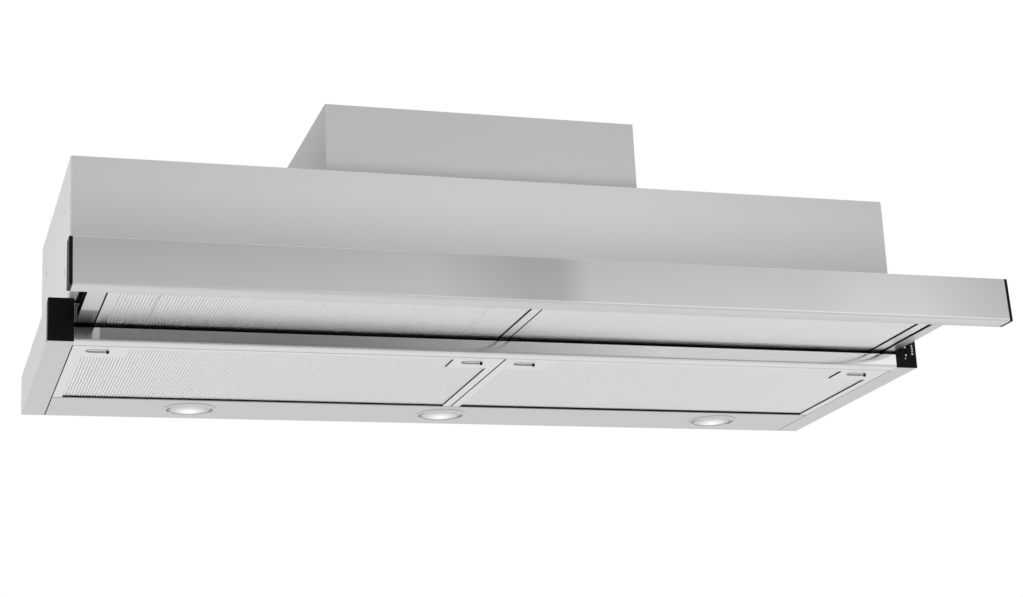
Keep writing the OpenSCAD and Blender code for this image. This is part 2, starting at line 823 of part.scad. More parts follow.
module ball_cages() {
    length = ball_count * ball_pitch - cage_start;
    color(bright) at_tray() for (s = [-1, 1]) {
        hand(s) {
            block([cage_web_x, cage_start, slide_z + ball_row_z - cage_t / 2],
                [cage_web_x + cage_t, cage_start + length, slide_z + slide_h - ball_row_z + cage_t / 2]);
            for (z = [slide_z + ball_row_z, slide_z + slide_h - ball_row_z]) {
                block([inner_x - slide_reach + cage_gap, cage_start, z - cage_t / 2],
                    [cage_web_x, cage_start + length, z + cage_t / 2]);
                for (i = [0:ball_count - 1]) {
                    translate([ball_x, cage_start + (i + 0.5) * length / ball_count, z])
                        sphere(d = ball_d, $fn = small_fn);
                }
            }
        }
    }
}

module slide_inner(s) {
    color(black) at_tray() hand(s) difference() {
        block([inner_slide_x, visor_bar_end + slide_rear_gap, inner_slide_z],
            [inner_slide_tip, visor_tail, inner_slide_z + inner_slide_h]);
        block([inner_slide_x + slide_t, panel_back, inner_slide_z + slide_t],
            [inner_x, tray_d, inner_slide_z + inner_slide_h - slide_t]);
    }
}

// Front panel of the visor: a folded channel of brushed steel, open at its back
panel_low = -panel_drop;
panel_top = panel_h - panel_drop;
function panel_outline() =
    let (
        front_low = [panel_back - panel_d, panel_low],
        front_high = [panel_back - panel_d + panel_lean, panel_top],
        back_low = [panel_back, panel_low],
        back_high = [panel_back, panel_top]
    )
    concat([back_low], bend(back_low, front_low, front_high, panel_bend_r),
        bend(front_low, front_high, back_high, panel_bend_r), [back_high]);
function panel_inside(inset) = [
    [panel_back + overrun, panel_low + inset],
    [panel_back - panel_d + inset, panel_low + inset],
    [panel_back - panel_d + panel_lean + inset, panel_top - inset],
    [panel_back + overrun, panel_top - inset]];

module visor_fascia() {
    x = half_w - panel_cap_t;
    color(steel) at_tray() difference() {
        along_x(-x, x) polygon(panel_outline());
        along_x(-x - overrun, x + overrun) polygon(panel_inside(sheet_t));
    }
}

// End cap of the front panel, with a plug that enters the channel
module fascia_cap(s) {
    x = half_w - panel_cap_t;
    color(black) at_tray() hand(s) {
        along_x(x, half_w) polygon(panel_outline());
        intersection() {
            along_x(x - 2 * panel_cap_t, x) polygon(panel_inside(sheet_t + play));
            block([0, panel_back - panel_d, panel_low], [half_w, panel_back - play, panel_top]);
        }
    }
}

// Folded bar behind the front panel, with a ledge that the cassettes latch on
module visor_front_bar() {
    x = half_w - panel_cap_t;
    color(steel) at_tray() {
        block([-x, panel_back, panel_low], [x, visor_bar_end, panel_top]);
        block([-visor_wall_x, visor_bar_end, visor_filter_z],
            [visor_wall_x, visor_bar_end + ledge_d, visor_filter_z + sheet_t]);
    }
}

module visor_top_plate() {
    color(steel) at_tray() block([-pan_x, visor_bar_end, visor_cover_z], [pan_x, visor_tail, visor_top]);
}

// Side member: an upright wall with a flange below that hides the slide and reaches inwards by lip
module visor_side(s, lip) {
    color(steel) at_tray() hand(s) {
        block([visor_wall_x - lip, visor_bar_end, visor_foot], [pan_x, visor_tail, visor_foot + sheet_t]);
        block([visor_wall_x, visor_bar_end, visor_foot + sheet_t],
            [visor_wall_x + sheet_t, visor_tail, visor_cover_z]);
    }
}

// Angle between the side members that the cassettes hook on
module visor_rear_bar() {
    y = visor_filter_end + play;
    color(steel) at_tray() {
        block([-visor_wall_x, y, visor_filter_z], [visor_wall_x, y + rear_bar_d, visor_filter_z + sheet_t]);
        block([-visor_wall_x, y + rear_bar_d - sheet_t, visor_filter_z + sheet_t],
            [visor_wall_x, y + rear_bar_d, visor_filter_z + rear_bar_h]);
    }
}

// Places of a cassette's two latches, for a cassette between x0 and x1
function slot_xs(x0, x1) = [x0 + slot_from_left, x1 - slot_from_right];

// Folded frame of a cassette, with handle plates in its front corners and hooks at its rear.
// It lies between x0 and x1 and between y0 and y1; left and right are its side borders.
module cassette(x0, x1, y0, y1, left, right) {
    window = [x0 + left, y0 + border_front_w];
    window_end = [x1 - right, y1 - border_rear_w];
    color(steel) difference() {
        union() {
            difference() {
                block([x0, y0, 0], [x1, y1, filter_h]);
                block([x0 + lip_t, y0 + lip_t, lip_t], [x1 - lip_t, y1 - lip_t, filter_h - lip_t]);
                block([window.x, window.y, -overrun], [window_end.x, window_end.y, filter_h + overrun]);
            }
            block([window.x - lip_t, window.y - lip_t, 0], [window.x + plate_w, window.y + plate_d, lip_t]);
            block([window_end.x - plate_w, window.y - lip_t, 0],
                [window_end.x + lip_t, window.y + plate_d, lip_t]);
            for (share = [0.25, 0.75]) {
                translate([x0 + (x1 - x0) * share, y1, tab_z])
                    block([-tab_w / 2, -lip_t, 0], [tab_w / 2, tab_reach, tab_t]);
            }
        }
        for (x = slot_xs(x0, x1)) {
            translate([x, y0 + slot_from_front, -overrun]) stadium(slot_len, slot_w, lip_t + 2 * overrun);
            block([x - tongue_w / 2 - play, y0 - overrun, lip_t],
                [x + tongue_w / 2 + play, y0 + lip_t + overrun, latch_z + latch_t + play]);
        }
    }
}

// Layers of expanded mesh, pressed into one sheet inside a cassette, with a pocket for each latch
module mesh_pack(x0, x1, y0, y1) {
    pocket_end = y0 + slot_from_front + slot_w / 2 + latch_travel + play;
    color(mesh_grey) difference() {
        block([x0 + lip_t, y0 + lip_t, lip_t], [x1 - lip_t, y1 - lip_t, lip_t + mesh_t]);
        for (x = slot_xs(x0, x1)) {
            block([x - tongue_w / 2 - play, y0, 0],
                [x + tongue_w / 2 + play, pocket_end, lip_t + mesh_t + overrun]);
        }
    }
}

// Sliding latch: tongue with its nose over the ledge, and a finger pad in the slot
module latch(x, y0) {
    color(bright) {
        block([x - tongue_w / 2, y0 - nose_len, latch_z],
            [x + tongue_w / 2, y0 + slot_from_front + slot_w / 2, latch_z + latch_t]);
        translate([x, y0 + slot_from_front - latch_travel / 2, pad_z])
            stadium(slot_len - 2 * pad_inset, pad_w, latch_z - pad_z);
    }
}

module at_visor_filter() {
    at_tray() translate([0, 0, visor_filter_z]) children();
}

// The tray's cassettes run from the middle seam to the side profiles
module filter_left() {
    at_tray() cassette(-pan_x, -filter_mid, filter_start, tray_filter_end, border_w, border_w);
}
module filter_right() {
    at_tray() cassette(filter_mid, pan_x, filter_start, tray_filter_end, border_w, border_w);
}
module filter_mesh_left() {
    at_tray() mesh_pack(-pan_x, -filter_mid, filter_start, tray_filter_end);
}
module filter_mesh_right() {
    at_tray() mesh_pack(filter_mid, pan_x, filter_start, tray_filter_end);
}
module latch_left(i) {
    at_tray() latch(slot_xs(-pan_x, -filter_mid)[i], filter_start);
}
module latch_right(i) {
    at_tray() latch(slot_xs(filter_mid, pan_x)[i], filter_start);
}

// The visor's cassettes run from the middle seam to the gaps beside the side members
module visor_filter_left() {
    at_visor_filter() cassette(visor_filter_left_x, -filter_mid, visor_filter_start, visor_filter_end,
        visor_border_w, border_w);
}
module visor_filter_right() {
    at_visor_filter() cassette(filter_mid, visor_filter_right_x, visor_filter_start, visor_filter_end,
        border_w, visor_border_w);
}
module visor_mesh_left() {
    at_visor_filter() mesh_pack(visor_filter_left_x, -filter_mid, visor_filter_start, visor_filter_end);
}
module visor_mesh_right() {
    at_visor_filter() mesh_pack(filter_mid, visor_filter_right_x, visor_filter_start, visor_filter_end);
}
module visor_latches_left() {
    at_visor_filter() for (x = slot_xs(visor_filter_left_x, -filter_mid)) {
        latch(x, visor_filter_start);
    }
}
module visor_latches_right() {
    at_visor_filter() for (x = slot_xs(filter_mid, visor_filter_right_x)) {
        latch(x, visor_filter_start);
    }
}

body_front();
body_side(-1);  // body_side_left
body_side(1);  // body_side_right
body_back();
body_top();
motor_box();
outlet_collar();
damper_flap(-1);  // damper_flap_left
damper_flap(1);  // damper_flap_right
scroll_half(-1);  // scroll_left
scroll_half(1);  // scroll_right
impeller();
motor();
motor_shaft();
motor_bracket();
capacitor();
electronics_box();
cable_gland();
case_screws();
tray_side(-1);  // tray_side_left
tray_side(1);  // tray_side_right
tray_front_rail();
lamp_tray();
end_cap_left();
control_housing();
switch_board();
slider(fan_slider_x, fan_slider_z, carriage_w);  // fan_slider
slider(lamp_slider_x, lamp_slider_z, 0.7 * carriage_w);  // lamp_slider
lamp_bezels();
lamp_lenses();
lamp_housings();
microswitch();
switch_plunger();
slide_outer(-1);  // slide_outer_left
slide_outer(1);  // slide_outer_right
ball_cages();
slide_inner(-1);  // slide_inner_left
slide_inner(1);  // slide_inner_right
visor_fascia();
fascia_cap(-1);  // fascia_cap_left
fascia_cap(1);  // fascia_cap_right
visor_front_bar();
visor_top_plate();
visor_side(-1, visor_lip_w);  // visor_side_left
visor_side(1, 0);  // visor_side_right
visor_rear_bar();
visor_filter_left();
visor_filter_right();
visor_mesh_left();
visor_mesh_right();
visor_latches_left();
visor_latches_right();
filter_left();
filter_right();
filter_mesh_left();
filter_mesh_right();
latch_left(0);  // latch_left_outer
latch_left(1);  // latch_left_inner
latch_right(0);  // latch_right_inner
latch_right(1);  // latch_right_outer
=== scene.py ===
import json
from math import pi, radians

import bmesh
import bpy
from mathutils import Matrix, Vector

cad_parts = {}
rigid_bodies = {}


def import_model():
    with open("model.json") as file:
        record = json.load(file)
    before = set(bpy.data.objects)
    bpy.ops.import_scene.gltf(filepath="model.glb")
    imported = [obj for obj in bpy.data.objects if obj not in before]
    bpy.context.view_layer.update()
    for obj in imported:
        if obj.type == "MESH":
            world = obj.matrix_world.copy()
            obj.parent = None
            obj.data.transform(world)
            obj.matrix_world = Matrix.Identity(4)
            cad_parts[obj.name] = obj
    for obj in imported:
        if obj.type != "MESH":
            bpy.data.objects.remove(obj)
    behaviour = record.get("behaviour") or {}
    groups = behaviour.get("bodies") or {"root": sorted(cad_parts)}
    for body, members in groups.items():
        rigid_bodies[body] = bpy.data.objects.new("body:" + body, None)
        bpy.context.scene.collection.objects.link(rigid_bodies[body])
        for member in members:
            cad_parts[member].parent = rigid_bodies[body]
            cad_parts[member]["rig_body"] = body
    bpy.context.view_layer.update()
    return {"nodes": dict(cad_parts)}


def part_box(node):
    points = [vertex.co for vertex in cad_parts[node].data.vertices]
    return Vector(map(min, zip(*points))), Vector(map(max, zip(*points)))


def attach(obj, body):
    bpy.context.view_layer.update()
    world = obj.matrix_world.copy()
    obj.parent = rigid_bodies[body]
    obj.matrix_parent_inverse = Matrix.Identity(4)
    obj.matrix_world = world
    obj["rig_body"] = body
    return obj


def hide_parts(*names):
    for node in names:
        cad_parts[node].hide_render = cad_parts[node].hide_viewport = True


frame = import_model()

# Studio: a camera that looks up at the hood from the front left, as in the photograph, in a white
# surround that is dimmer in front and overhead, and for paint also on the left. Two soft lamps
# stand in front and on the left, and a pale floor lies far below, as a kitchen's would.
camera = bpy.data.objects.new("camera", bpy.data.cameras.new("camera"))
camera.data.lens = 73.444
camera.data.sensor_width = 36
camera.data.clip_end = 50
camera.matrix_world = Matrix((
    (0.95402731, -0.03825050, -0.29726890, -0.614928),
    (-0.29592241, -0.27759095, -0.91398752, -1.956949),
    (-0.04755868, 0.95993758, -0.27614853, -0.513355),
    (0, 0, 0, 1)))
bpy.context.scene.collection.objects.link(camera)
bpy.context.scene.camera = camera
bpy.context.scene.view_settings.view_transform = "Standard"


class Channel:
    """One output in a node tree. Arithmetic on it adds Math nodes."""

    def __init__(self, tree, output=None):
        self.tree = tree
        self.output = output

    def node(self, kind, settings, values, output=0):
        made = self.tree.nodes.new(kind)
        for name, setting in settings.items():
            setattr(made, name, setting)
        for name, value in values.items():
            if isinstance(value, Channel):
                self.tree.links.new(value.output, made.inputs[name])
            else:
                made.inputs[name].default_value = value
        return Channel(self.tree, made.outputs[output])

    def math(self, operation, first, second):
        return self.node("ShaderNodeMath", {"operation": operation}, {0: first, 1: second})

    def __add__(self, other):
        return self.math("ADD", self, other)

    def __sub__(self, other):
        return self.math("SUBTRACT", self, other)

    def __rsub__(self, other):
        return self.math("SUBTRACT", other, self)

    def __mul__(self, other):
        return self.math("MULTIPLY", self, other)

    def __truediv__(self, other):
        return self.math("DIVIDE", self, other)

    def __pow__(self, other):
        return self.math("POWER", self, other)

    def __abs__(self):
        return self.math("ABSOLUTE", self, 0)

    __radd__ = __add__
    __rmul__ = __mul__

    def least(self, other):
        return self.math("MINIMUM", self, other)

    def between(self, low, high):
        """0 below low, 1 above high and a straight rise between them."""
        return self.node("ShaderNodeMapRange", {},
                         {"Value": self, "From Min": low, "From Max": high})

    def to(self, socket):
        self.tree.links.new(self.output, socket)


def coordinates(vector, axes):
    """The coordinates of a vector along the axes that are named, one channel each."""
    return [vector.node("ShaderNodeSeparateXYZ", {}, {"Vector": vector}, axis) for axis in axes]


world = bpy.data.worlds.new("studio")
world.use_nodes = True
bpy.context.scene.world = world
background = world.node_tree.nodes["Background"]
background.inputs["Color"].default_value = (1, 1, 1, 1)
sky = Channel(world.node_tree)
right, behind, above = coordinates(sky.node("ShaderNodeTexCoord", {}, {}, "Generated"), "XYZ")
in_front = 0 - behind
on_left = 0 - right
seen, mirrored, refracted = [sky.node("ShaderNodeLightPath", {}, {}, f"Is {kind} Ray")
                             for kind in ("Camera", "Glossy", "Transmission")]
for_paint = (1 - in_front.between(0, 0.5) * 0.68 - above.between(0, 1) * 0.30
             - on_left.between(0.1, 0.9) * 0.42)
front_shade = (0.34 - right.between(0.1, 0.3) * 0.16 - right.between(0.33, 0.42) * 0.16
               + right.between(0.46, 0.6) * 0.18)
for_metal = 1 - in_front.between(0, 0.6) * front_shade - above.between(0.1, 1) * 0.30
level = for_paint * (1 - mirrored) + for_metal * mirrored
backdrop = (seen + (mirrored + refracted) * behind.between(-0.05, 0.15)).between(0, 1)
(level * (1 - backdrop) + backdrop).to(background.inputs["Strength"])

lamp_watts = 5.6
for name, stand, aim, width, height in (
        ("front_lamp", (0.05, -1.0, -0.12), (0.05, 0, 0.08), 0.4, 0.5),
        ("left_lamp", (-1.5, -0.1, -0.25), (-0.43, 0, 0.1), 0.6, 0.5)):
    lamp = bpy.data.objects.new(name, bpy.data.lights.new(name, "AREA"))
    lamp.data.shape = "RECTANGLE"
    lamp.data.size = width
    lamp.data.size_y = height
    lamp.data.energy = lamp_watts
    lamp.visible_glossy = False
    facing_aim = (Vector(stand) - Vector(aim)).to_track_quat("Z", "Y").to_matrix().to_4x4()
    lamp.matrix_world = Matrix.Translation(stand) @ facing_aim
    bpy.context.scene.collection.objects.link(lamp)


def surface(name, **constants):
    """A material with its even values set on the shader's own sockets, and its places in metres."""
    material = bpy.data.materials.new(name)
    material.use_nodes = True
    shader = material.node_tree.nodes["Principled BSDF"]
    for socket, value in constants.items():
        shader.inputs[socket.replace("_", " ")].default_value = value
    place = Channel(material.node_tree).node("ShaderNodeTexCoord", {}, {}, "Object")
    return material, shader.inputs, place


def noise(place, scale, detail=2.0, stretch=(1, 1, 1)):
    """Noise of a given number of grains in a metre, drawn out where stretch is below 1."""
    stretched = place.node("ShaderNodeMapping", {}, {"Vector": place, "Scale": stretch})
    return place.node("ShaderNodeTexNoise", {},
                      {"Vector": stretched, "Scale": scale, "Detail": detail})


def tint(mask, dark, light):
    """Colour between dark and light by a mask."""
    mixed = {0: mask, 6: (*dark, 1), 7: (*light, 1)}
    return mask.node("ShaderNodeMix", {"data_type": "RGBA"}, mixed, 2)


def mottled(name, scale, detail, dark, light, **constants):
    """A surface whose colour varies between two shades, in grains of noise."""
    material, sockets, place = surface(name, **constants)
    tint(noise(place, scale, detail), dark, light).to(sockets["Base Color"])
    return material, sockets, place


floor_level = -2.6
floor_size = 14.6
floor_finish, sockets, place = mottled("pale_floor", 3, 3, (0.84, 0.84, 0.84),
                                       (0.88, 0.88, 0.88), Roughness=0.9)
seen_in_metal = place.node("ShaderNodeLightPath", {}, {}, "Is Glossy Ray")
glow = place.node("ShaderNodeEmission", {}, {"Color": (1, 1, 1, 1), "Strength": 1.0})
lit = Channel(place.tree, floor_finish.node_tree.nodes["Principled BSDF"].outputs[0])
place.node("ShaderNodeMixShader", {}, {0: seen_in_metal, 1: lit, 2: glow}).to(
    floor_finish.node_tree.nodes["Material Output"].inputs["Surface"])
floor_mesh = bmesh.new()
bmesh.ops.create_grid(floor_mesh, x_segments=1, y_segments=1, size=floor_size,
                      matrix=Matrix.Translation((0, 0, floor_level)))
floor_data = bpy.data.meshes.new("floor")
floor_mesh.to_mesh(floor_data)
floor_mesh.free()
floor_data.materials.append(floor_finish)
floor = bpy.data.objects.new("floor", floor_data)
bpy.context.scene.collection.objects.link(floor)

# Casing: one sheet of steel folded round three sides, with a back and a top screwed in.
# The sheet is 1 mm thick, painted light grey with a fine orange peel, and rounded at its folds.
merge_distance = 0.000005
tolerance = 0.0001


def bump(height, strength, depth):
    return height.node("ShaderNodeBump", {},
                       {"Height": height, "Strength": strength, "Distance": depth})


def coat_of_paint(name, dark, light):
    """Grey paint that varies a little, with an orange peel of about 1 mm."""
    material, sockets, place = mottled(name, 5, 3, dark, light)
    (0.38 + noise(place, 60, 3) * 0.1).to(sockets["Roughness"])
    bump(noise(place, 1100, 2), 0.06, 0.0002).to(sockets["Normal"])
    return material


def fit(name, bm, material, *nodes, beside=None, crease=32):
    """Puts a mesh in the scene in place of its nodes, or as a detail beside the node it is on."""
    mesh = bpy.data.meshes.new(name)
    bm.normal_update()
    bm.to_mesh(mesh)
    bm.free()
    for polygon in mesh.polygons:
        polygon.use_smooth = True
    mesh.set_sharp_from_angle(angle=radians(crease))
    mesh.materials.append(material)
    piece = bpy.data.objects.new(name, mesh)
    bpy.context.scene.collection.objects.link(piece)
    carrier = beside or nodes[0]
    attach(piece, frame["nodes"][carrier]["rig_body"])
    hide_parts(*nodes)
    return piece


def ease(material, width, *nodes, steps=2):
    """The CAD nodes' own forms with their edges eased, as folded and moulded parts have them."""
    for node in nodes:
        bm = bmesh.new()
        bm.from_mesh(frame["nodes"][node].data)
        bmesh.ops.remove_doubles(bm, verts=bm.verts, dist=merge_distance)
        bmesh.ops.dissolve_limit(bm, angle_limit=radians(1), verts=bm.verts, edges=bm.edges)
        piece = fit(f"{node}_eased", bm, material, node)
        edges = piece.modifiers.new("eased_edges", "BEVEL")
        edges.width = width
        edges.segments = steps
        edges.limit_method = "ANGLE"
        edges.angle_limit = radians(35)
        edges.harden_normals = True


def finish(material, *nodes):
    """Gives CAD nodes whose form is right their material."""
    for node in nodes:
        data = frame["nodes"][node].data
        data.materials.clear()
        data.materials.append(material)


def shift(bm, step, geom):
    """Moves the vertices among what an operator made."""
    bmesh.ops.translate(bm, vec=step, verts=[v for v in geom if isinstance(v, bmesh.types.BMVert)])


def edges_of(verts):
    """Every edge at some vertices, once."""
    return list(dict.fromkeys(e for v in verts for e in v.link_edges))


def round_off(bm, edges, radius, steps):
    bmesh.ops.bevel(bm, geom=edges, offset=radius, offset_type="OFFSET", segments=steps,
                    profile=0.5, affect="EDGES", material=-1)


casing_paint = coat_of_paint("casing_paint", (0.75, 0.75, 0.765), (0.775, 0.775, 0.79))
fold_radius = 0.0018
hole_radius = 0.00225
hole_places = [(along, up) for along in (-0.1, 0.1) for up in (-0.03, 0.03)]
low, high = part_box("body_front")
back_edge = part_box("body_side_left")[1].y
jacket = bmesh.new()
corners = [jacket.verts.new((x, y, low.z)) for x, y in (
    (low.x, back_edge), (low.x, low.y), (high.x, low.y), (high.x, back_edge))]
foot = [jacket.edges.new(pair) for pair in zip(corners, corners[1:])]
risen = bmesh.ops.extrude_edge_only(jacket, edges=foot)["geom"]
shift(jacket, (0, 0, high.z - low.z), risen)
folds = [e for e in jacket.edges if abs(e.verts[0].co.z - e.verts[1].co.z) > tolerance
         and abs(e.verts[0].co.y - low.y) < tolerance]
round_off(jacket, folds, fold_radius, 6)
for side in (low.x, high.x):
    face = max((f for f in jacket.faces if abs(f.calc_center_median().x - side) < tolerance),
               key=lambda f: f.calc_area())
    outline = list(face.edges)
    jacket.faces.remove(face)
    for along, up in hole_places:
        centre = (side, (high.y + back_edge) / 2 + along, (low.z + high.z) / 2 + up)
        ring = bmesh.ops.create_circle(
            jacket, cap_ends=False, segments=24, radius=hole_radius,
            matrix=Matrix.Translation(centre) @ Matrix.Rotation(pi / 2, 4, "Y"))
        outline += edges_of(ring["verts"])
    bmesh.ops.triangle_fill(jacket, use_beauty=True, use_dissolve=False, edges=outline,
                            normal=(1, 0, 0))
bmesh.ops.recalc_face_normals(jacket, faces=jacket.faces)
front = max(jacket.faces, key=lambda f: f.calc_area())
if front.normal.y > 0:
    bmesh.ops.reverse_faces(jacket, faces=jacket.faces)
bmesh.ops.solidify(jacket, geom=jacket.faces[:], thickness=high.y - low.y)
fit("casing_jacket", jacket, casing_paint, "body_front", "body_side_left", "body_side_right")
ease(casing_paint, 0.0003, "body_back", "body_top")

# Upper box: the painted cover over the blower, folded and spot welded, on two flanges.
# Eight zinc plated pan head screws with cross recesses hold it to the casing's top.
box_paint = coat_of_paint("box_paint", (0.68, 0.68, 0.69), (0.705, 0.705, 0.715))
ease(box_paint, 0.0004, "motor_box", steps=3)
zinc_plate, sockets, place = mottled("zinc_plate", 220, 4, (0.56, 0.58, 0.61), (0.68, 0.70, 0.72),
                                     Metallic=1.0)
(0.30 + noise(place, 500, 3) * 0.2).to(sockets["Roughness"])


def add_block(bm, centre, size, turn=0):
    bmesh.ops.create_cube(bm, size=1, matrix=Matrix.Translation(centre)
                          @ Matrix.Rotation(turn, 4, "Z") @ Matrix.Diagonal((*size, 1)))


def add_disc(bm, centre, radius, depth, segments=24, foot_radius=None):
    """An upright disc, or one whose foot has another radius than its top."""
    return bmesh.ops.create_cone(
        bm, cap_ends=True, segments=segments, radius1=foot_radius or radius, radius2=radius,
        depth=depth, matrix=Matrix.Translation(centre))["verts"]


head_radius = 0.0038
crown_radius = head_radius * 0.86
crown_rounding = 0.0009
head_height = 0.0024
shank_radius = 0.002
shank_overlap = 0.0002
recess_size = (0.0042, 0.0008, 0.0004)
recess_drop = 0.00018
screws_in_row = 4
low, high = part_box("case_screws")
head_foot = high.z - head_height
spacing = (high.y - low.y - 2 * head_radius) / (screws_in_row - 1)
screws = bmesh.new()
for x in (low.x + head_radius, high.x - head_radius):
    for step in range(screws_in_row):
        y = low.y + head_radius + step * spacing
        head = add_disc(screws, (x, y, head_foot + head_height / 2), crown_radius, head_height,
                        foot_radius=head_radius)
        crown = [e for e in edges_of(head) if all(v.co.z > high.z - tolerance for v in e.verts)]
        round_off(screws, crown, crown_rounding, 3)
        for quarter in (0, pi / 2):
            add_block(screws, (x, y, high.z - recess_drop), recess_size, quarter + step)
        add_disc(screws, (x, y, (head_foot + low.z) / 2), shank_radius,
                 head_foot - low.z + shank_overlap)
fit("box_screws", screws, zinc_plate, "case_screws")

# Duct collar with its two flaps, and the gland for the mains lead: moulded in black and grey
# plastic with a fine spark-eroded texture, clipped and screwed to the painted sheets.
black_plastic, sockets, place = mottled("black_plastic", 90, 3, (0.0038, 0.0038, 0.0042),
                                        (0.006, 0.006, 0.0065), Specular_IOR_Level=0.12)
(0.42 + noise(place, 900, 3) * 0.2).to(sockets["Roughness"])
bump(noise(place, 2600, 2), 0.12, 0.0002).to(sockets["Normal"])
grey_plastic, sockets, place = mottled("grey_plastic", 30, 2, (0.26, 0.27, 0.29),
                                       (0.30, 0.31, 0.33), Roughness=0.5)
bump(noise(place, 2200, 2), 0.12, 0.0002).to(sockets["Normal"])
ease(black_plastic, 0.0004, "outlet_collar", "cable_gland")
finish(grey_plastic, "damper_flap_left", "damper_flap_right")

# Blower: two moulded scroll halves, a drum impeller on the motor's shaft, and the motor on a
# three-armed bracket of zinc plated steel in the left inlet.
finish(grey_plastic, "scroll_left", "scroll_right")
finish(black_plastic, "impeller")
finish(zinc_plate, "motor_shaft", "motor_bracket")
motor_varnish, sockets, place = mottled("motor_varnish", 90, 4, (0.035, 0.035, 0.04),
                                        (0.08, 0.078, 0.075), Roughness=0.45, Metallic=0.6)
bump(noise(place, 700, 3), 0.2, 0.0003).to(sockets["Normal"])
finish(motor_varnish, "motor")

# Motor capacitor in its drawn aluminium can with a clip, and the moulded electronics box,
# both fixed to the casing's back.
drawn_can, sockets, place = surface("drawn_can", Base_Color=(0.78, 0.78, 0.79, 1), Metallic=1.0)
(0.22 + noise(place, 400, 2, (0.02, 1, 1)) * 0.22).to(sockets["Roughness"])
ease(drawn_can, 0.0006, "capacitor")
ease(grey_plastic, 0.0015, "electronics_box", steps=3)


# Tray: two folded side profiles, the rear strip with the lamp holes and the rail across the
# front, all of stainless sheet brushed along its length. The rail's front is polished, and its
# colour holds a painted reflection: darker at the left, where it would mirror the visor's shade,
# with a painted pale stripe at the end.
def brushed(name, smoothest, **constants):
    """Stainless sheet brushed along its length, and the grain for its colour to follow."""
    material, sockets, place = surface(name, Metallic=1.0, **constants)
    grain = noise(place, 2600, 2, (0.006, 1, 1))
    (smoothest + grain * 0.08).to(sockets["Roughness"])
    bump(grain, 0.03, 0.0001).to(sockets["Normal"])
    return material, sockets, place, grain


tray_steel, sockets, place, grain = brushed("tray_steel", 0.30)
tint(grain, (0.555, 0.555, 0.56), (0.585, 0.585, 0.59)).to(sockets["Base Color"])
ease(tray_steel, 0.0004, "tray_side_left", "tray_side_right", steps=3)
ease(tray_steel, 0.0003, "lamp_tray")
rail_steel, sockets, place = surface("rail_steel", Metallic=1.0)
along, up = coordinates(place, "XZ")
rail_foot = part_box("tray_front_rail")[0].z
on_front = up.between(rail_foot + 0.0024, rail_foot + 0.0028)
# Painted reflection on the rail's front: darker to the left and paler to the right, with a pale
# stripe near the left end. The foot has a plain tone.
painted_stripe_reflection = along.between(-0.4089, -0.4074) * (1 - along.between(-0.4022, -0.4007))
painted_reflection_tone = 0.26 + along.between(-0.25, 0.16) ** 1.7 * 0.66 + painted_stripe_reflection * 0.3
shade = painted_reflection_tone * on_front + 0.62 * (1 - on_front)
tint(shade, (0, 0, 0), (1, 1, 1)).to(sockets["Base Color"])
(0.13 + noise(place, 1800, 2, (0.01, 1, 1)) * 0.06).to(sockets["Roughness"])
ease(rail_steel, 0.0004, "tray_front_rail", steps=3)

# End pieces of the tray: black mouldings. The right one holds the controls: two sliders with
# square buttons in upright slots, in front of their small circuit board, and beside them five
# printed dots and five strokes.
ease(black_plastic, 0.0004, "end_cap_left", "control_housing")
ease(black_plastic, 0.0003, "fan_slider", "lamp_slider")
pale_print = mottled("pale_print", 900, 2, (0.84, 0.84, 0.84), (0.92, 0.92, 0.92),
                     Roughness=0.6)[0]
print_depth = 0.0002
dot_radius = 0.0011
dots = ((0.0193, 0.0267), (0.0195, 0.0238), (0.0195, 0.0209), (0.0195, 0.0180), (0.0114, 0.0250))
strokes = (
    ((0.0103, 0.0284), (0.0016, 0.0030)), ((0.0157, 0.0294), (0.0020, 0.0012)),
    ((0.0200, 0.0305), (0.0022, 0.0010)), ((0.0119, 0.0164), (0.0016, 0.0022)),
    ((0.0110, 0.0128), (0.0014, 0.0012)))
housing_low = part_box("control_housing")[0]
marks = bmesh.new()
for across, up in dots:
    centre = Matrix.Translation((housing_low.x + across, housing_low.y, up))
    bmesh.ops.create_cone(marks, cap_ends=True, segments=20, radius1=dot_radius,
                          radius2=dot_radius, depth=print_depth,
                          matrix=centre @ Matrix.Rotation(pi / 2, 4, "X"))
for (across, up), (width, height) in strokes:
    add_block(marks, (housing_low.x + across, housing_low.y, up), (width, print_depth, height))
fit("control_marks", marks, pale_print, beside="control_housing")
circuit_board = mottled("circuit_board", 500, 2, (0.006, 0.014, 0.009), (0.014, 0.028, 0.018),
                        Roughness=0.5)[0]
finish(circuit_board, "switch_board")

# Lamps: satin aluminium bezels pressed into the rear strip, frosted lenses that bulge a little
# and glow in the middle, and plated housings behind them. Painted shade darkens the bezels' seats
# and the lenses' rims at their left and right.
low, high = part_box("lamp_lenses")
lens_radius = (high.y - low.y) / 2
lamp_y = (high.y + low.y) / 2
lamp_xs = (low.x + lens_radius, 0, high.x - lens_radius)


def from_lamp(place):
    """Distance to the nearest lamp's centre, and how far sideways of it, both in lens radii."""
    x, y = coordinates(place, "XY")
    at_left, in_middle, at_right = [abs(x - lamp_x) / lens_radius for lamp_x in lamp_xs]
    sideways = at_left.least(in_middle).least(at_right)
    deep = (y - lamp_y) / lens_radius
    return (sideways * sideways + deep * deep) ** 0.5, sideways


